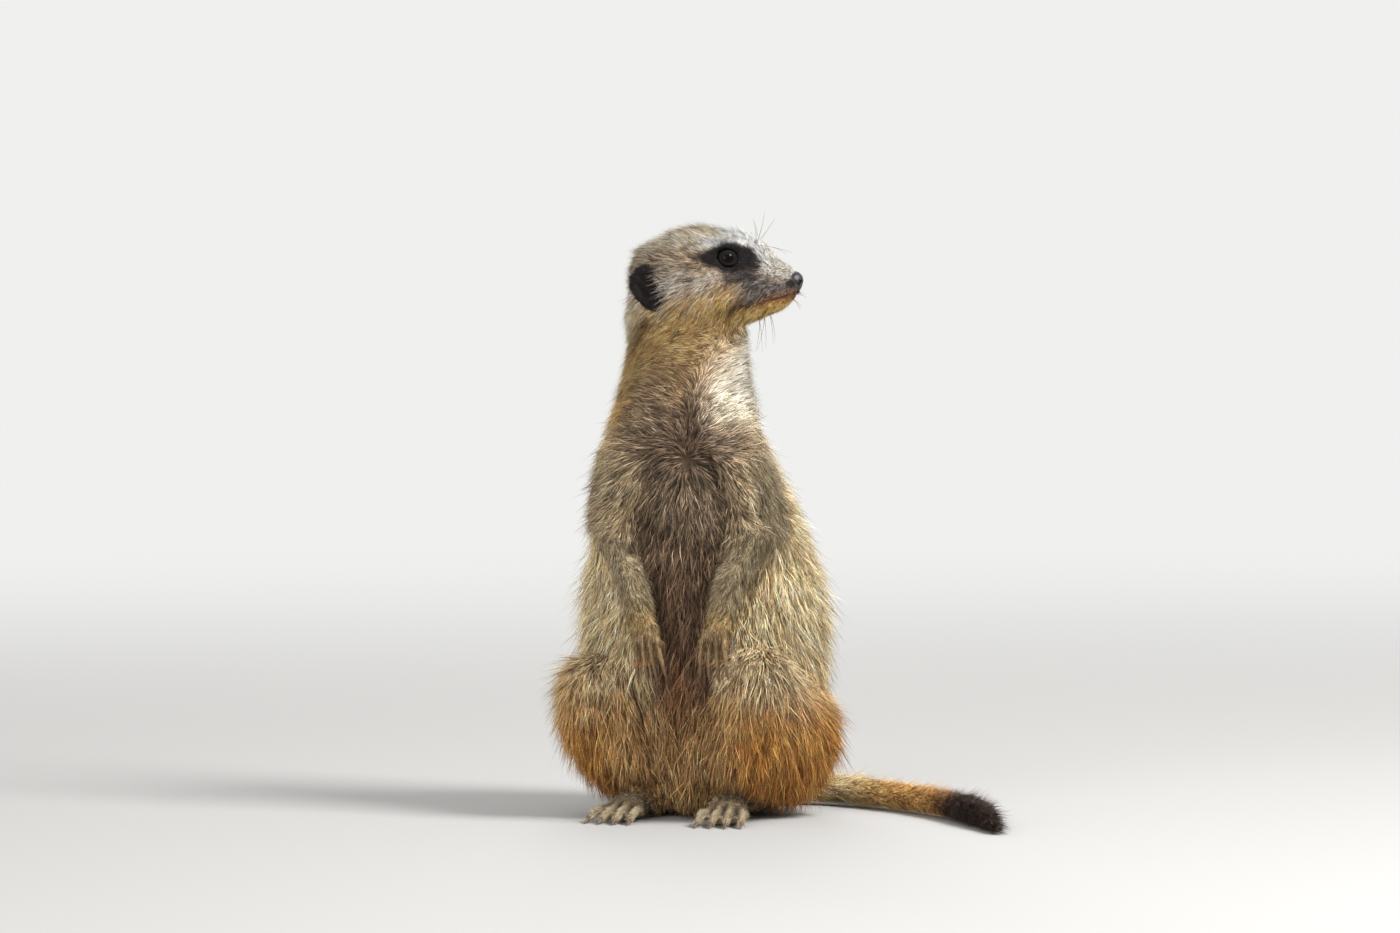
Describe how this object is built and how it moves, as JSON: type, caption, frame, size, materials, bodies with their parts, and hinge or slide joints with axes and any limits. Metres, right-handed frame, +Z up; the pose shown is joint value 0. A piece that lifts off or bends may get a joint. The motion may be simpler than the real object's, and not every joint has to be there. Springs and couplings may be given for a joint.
{
  "type": "meerkat",
  "caption": "Life-size still meerkat sitting upright on its haunches, forepaws hanging over the belly, head turned to its left, tail laid on the floor.",
  "frame": {"origin": "middle of the flat under the rump, at floor level", "axes": "+Z up, -Y the way the belly and feet face, +X the animal's left side"},
  "size_m": [0.1968, 0.1191, 0.2462],
  "materials": {
    "back_fur": "long soft fur",
    "chest_fur": "thin straggling fur over dark skin",
    "face_fur": "short dense fur",
    "limb_fur": "short fur",
    "thigh_fur": "long ticked fur",
    "paw_fur": "short fur, dark claws",
    "tail_fur": "short dense fur",
    "tail_tip_fur": "dark coarse fur",
    "ear_skin": "dark skin with thin fur",
    "nose_skin": "moist dark skin",
    "eye": "glossy"
  },
  "bodies": {
    "root": {"head": "face_fur", "lower_jaw": "face_fur", "nose": "nose_skin", "ear_left": "ear_skin", "ear_right": "ear_skin", "eye_left": "eye", "eye_right": "eye", "neck": "back_fur", "chest": "chest_fur", "belly": "back_fur", "upper_arm_left": "limb_fur", "upper_arm_right": "limb_fur", "forearm_left": "limb_fur", "forearm_right": "limb_fur", "hand_left": "paw_fur", "hand_right": "paw_fur", "thigh_left": "thigh_fur", "thigh_right": "thigh_fur", "shank_left": "thigh_fur", "shank_right": "thigh_fur", "foot_left": "paw_fur", "foot_right": "paw_fur", "tail_base": "tail_fur", "tail_middle": "tail_fur", "tail_tip": "tail_tip_fur"}
  },
  "joints": []
}
